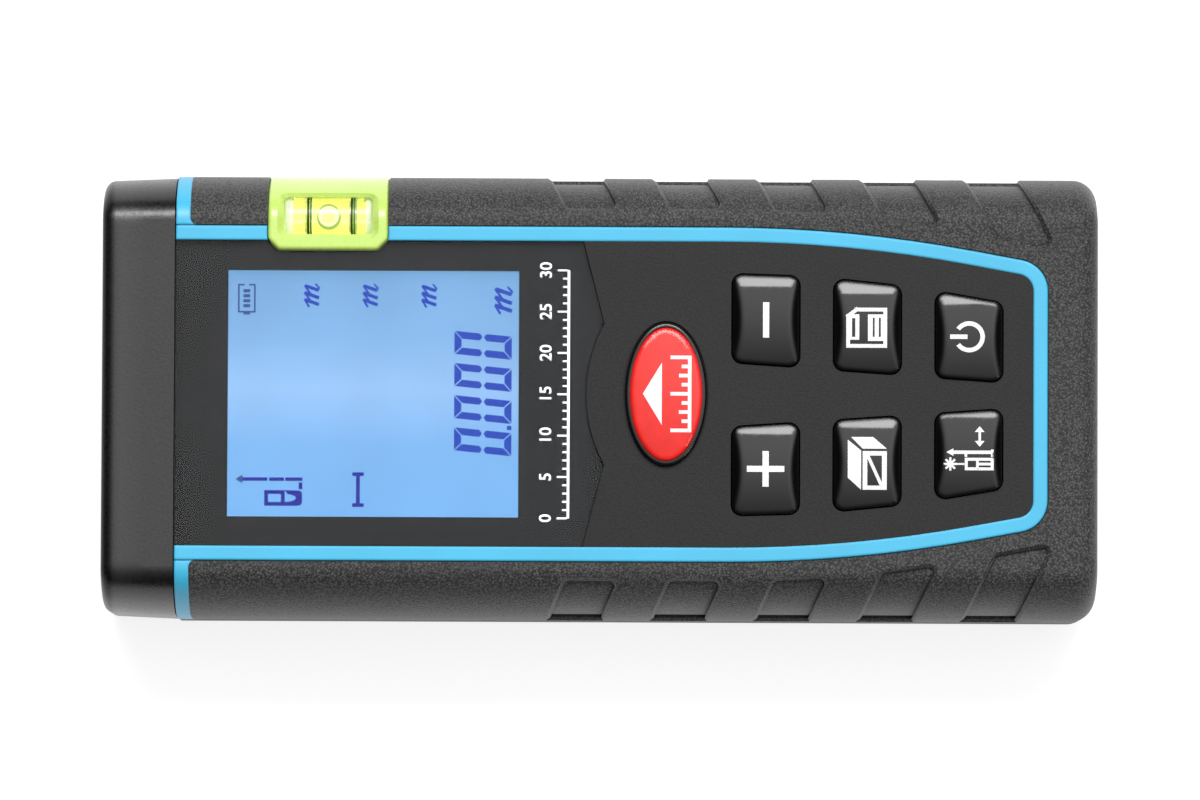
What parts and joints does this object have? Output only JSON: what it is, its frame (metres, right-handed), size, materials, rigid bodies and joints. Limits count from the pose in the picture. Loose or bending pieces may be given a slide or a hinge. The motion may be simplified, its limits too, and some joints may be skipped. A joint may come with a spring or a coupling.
{
  "type": "laser distance meter",
  "caption": "Pocket laser distance meter with a backlit display, push keys, a spirit level, rubber grip and battery door.",
  "frame": {"origin": "centre of the footprint, on the plane that the back rests on", "axes": "+Y the way the laser points, +Z out of the display, X across the face"},
  "size_m": [0.05, 0.112, 0.0264],
  "materials": {
    "hard_black": "fine satin texture",
    "soft_black": "matte overmould",
    "blue_trim": "soft satin",
    "clear": "polished",
    "mask_black": "printed",
    "lcd_blue": "backlit",
    "diffuser": "milky",
    "bezel": "moulded",
    "silicone": "matte",
    "key_black": "glossy",
    "key_red": "glossy",
    "board_green": "solder mask",
    "chip_black": "epoxy",
    "steel": "bright",
    "spring_steel": "nickel plated",
    "brass": "turned",
    "cast": "die cast",
    "optic": "coated",
    "cell_wrap": "plain sleeve",
    "lime": "translucent",
    "vial_clear": "clear acrylic",
    "ring_dark": "printed",
    "ribbon": "film",
    "bubble": "air"
  },
  "bodies": {
    "root": {"front_shell": "hard_black", "rear_shell": "hard_black", "grip_jacket": "soft_black", "stripe_trim": "blue_trim", "end_cap": "hard_black", "display_window": "clear", "window_mask": "mask_black", "lcd_panel": "lcd_blue", "lcd_backlight": "diffuser", "lcd_bezel": "bezel", "contact_strip": "silicone", "keypad_mat": "silicone", "snap_domes": "spring_steel", "main_board": "board_green", "board_chips": "chip_black", "buzzer": "chip_black", "board_screws": "steel", "housing_screws": "steel", "carrier_screws": "steel", "left_cell": "cell_wrap", "right_cell": "cell_wrap", "bridge_contact": "spring_steel", "negative_contact": "spring_steel", "positive_contact": "spring_steel", "optics_carrier": "cast", "receiver_lens": "optic", "lens_retainer": "brass", "laser_barrel": "brass", "collimator_lens": "optic", "laser_diode": "steel", "detector_board": "board_green", "detector_can": "steel", "detector_ribbon": "ribbon", "ribbon_sockets": "chip_black", "receiver_glass": "optic", "emitter_glass": "optic", "level_frame": "lime", "level_vial": "vial_clear", "level_rings": "ring_dark"},
    "measure_key": {"measure_button": "key_red", "measure_skirt": "key_black"},
    "minus_key": {"minus_key": "key_black"},
    "plus_key": {"plus_key": "key_black"},
    "memory_key": {"memory_key": "key_black"},
    "volume_key": {"volume_key": "key_black"},
    "clear_key": {"clear_key": "key_black"},
    "reference_key": {"reference_key": "key_black"},
    "battery_door": {"battery_door": "hard_black"},
    "level_bubble": {"level_bubble": "bubble"}
  },
  "joints": [
    {"name": "measure_press", "type": "slide", "parent": "root", "child": "measure_key", "axis": [0, 0, -1], "range_m": [0, 0.0004], "stiffness_N_per_m": 800, "springref_m": -0.0005},
    {"name": "minus_press", "type": "slide", "parent": "root", "child": "minus_key", "axis": [0, 0, -1], "range_m": [0, 0.0004], "stiffness_N_per_m": 800, "springref_m": -0.0005},
    {"name": "plus_press", "type": "slide", "parent": "root", "child": "plus_key", "axis": [0, 0, -1], "range_m": [0, 0.0004], "stiffness_N_per_m": 800, "springref_m": -0.0005},
    {"name": "memory_press", "type": "slide", "parent": "root", "child": "memory_key", "axis": [0, 0, -1], "range_m": [0, 0.0004], "stiffness_N_per_m": 800, "springref_m": -0.0005},
    {"name": "volume_press", "type": "slide", "parent": "root", "child": "volume_key", "axis": [0, 0, -1], "range_m": [0, 0.0004], "stiffness_N_per_m": 800, "springref_m": -0.0005},
    {"name": "clear_press", "type": "slide", "parent": "root", "child": "clear_key", "axis": [0, 0, -1], "range_m": [0, 0.0004], "stiffness_N_per_m": 800, "springref_m": -0.0005},
    {"name": "reference_press", "type": "slide", "parent": "root", "child": "reference_key", "axis": [0, 0, -1], "range_m": [0, 0.0004], "stiffness_N_per_m": 800, "springref_m": -0.0005},
    {"name": "door_swing", "type": "hinge", "parent": "root", "child": "battery_door", "pos_m": [0, -0.0502, 0.00055], "axis": [-1, 0, 0], "range_deg": [0, 40]},
    {"name": "bubble_slide", "type": "slide", "parent": "root", "child": "level_bubble", "axis": [0, 1, 0], "range_m": [-0.0022, 0.0022], "stiffness_N_per_m": 0.5}
  ]
}
